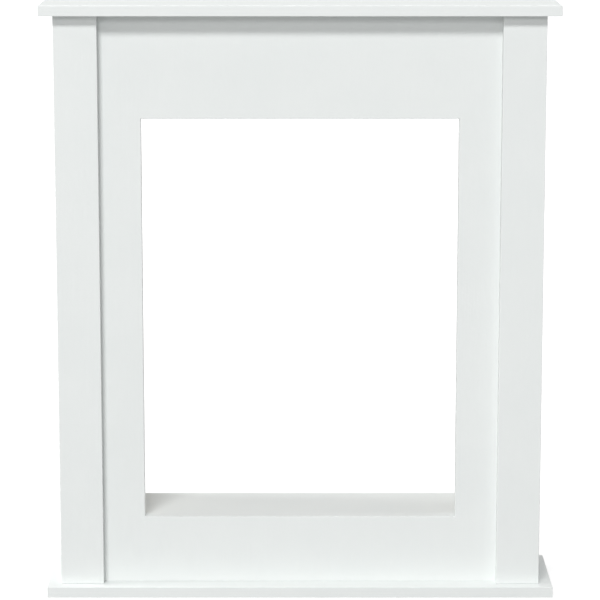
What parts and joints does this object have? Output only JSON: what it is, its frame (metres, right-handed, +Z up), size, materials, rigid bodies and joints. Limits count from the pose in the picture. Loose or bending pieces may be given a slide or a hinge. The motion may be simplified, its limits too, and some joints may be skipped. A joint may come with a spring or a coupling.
{
  "type": "dolls' house fireplace mantel",
  "caption": "Plain square-edged dolls' house fireplace mantel: shelf and matching base, flat pilasters, recessed front with a tall opening and a hearth floor, open at the back.",
  "frame": {"origin": "under the middle of the base board, on the surface that the mantel stands on", "axes": "+Z up, the front faces -Y and the wall side faces +Y, +X to the right of someone who faces the front"},
  "size_m": [0.077, 0.018, 0.09],
  "materials": {
    "painted_board": "satin white paint",
    "bare_strip": "sawn and unfinished",
    "pin_steel": "bright"
  },
  "bodies": {
    "root": {"mantel_shelf": "painted_board", "base_board": "painted_board", "front_panel": "painted_board", "left_pilaster": "painted_board", "right_pilaster": "painted_board", "left_side_panel": "painted_board", "right_side_panel": "painted_board", "hearth_floor": "painted_board", "left_corner_post": "bare_strip", "right_corner_post": "bare_strip", "left_shelf_cleat": "bare_strip", "right_shelf_cleat": "bare_strip", "header_cleat": "bare_strip", "left_hearth_cleat": "bare_strip", "right_hearth_cleat": "bare_strip", "front_hearth_cleat": "bare_strip", "left_base_cleat": "bare_strip", "right_base_cleat": "bare_strip", "front_base_cleat": "bare_strip", "base_pins": "pin_steel"}
  },
  "joints": []
}
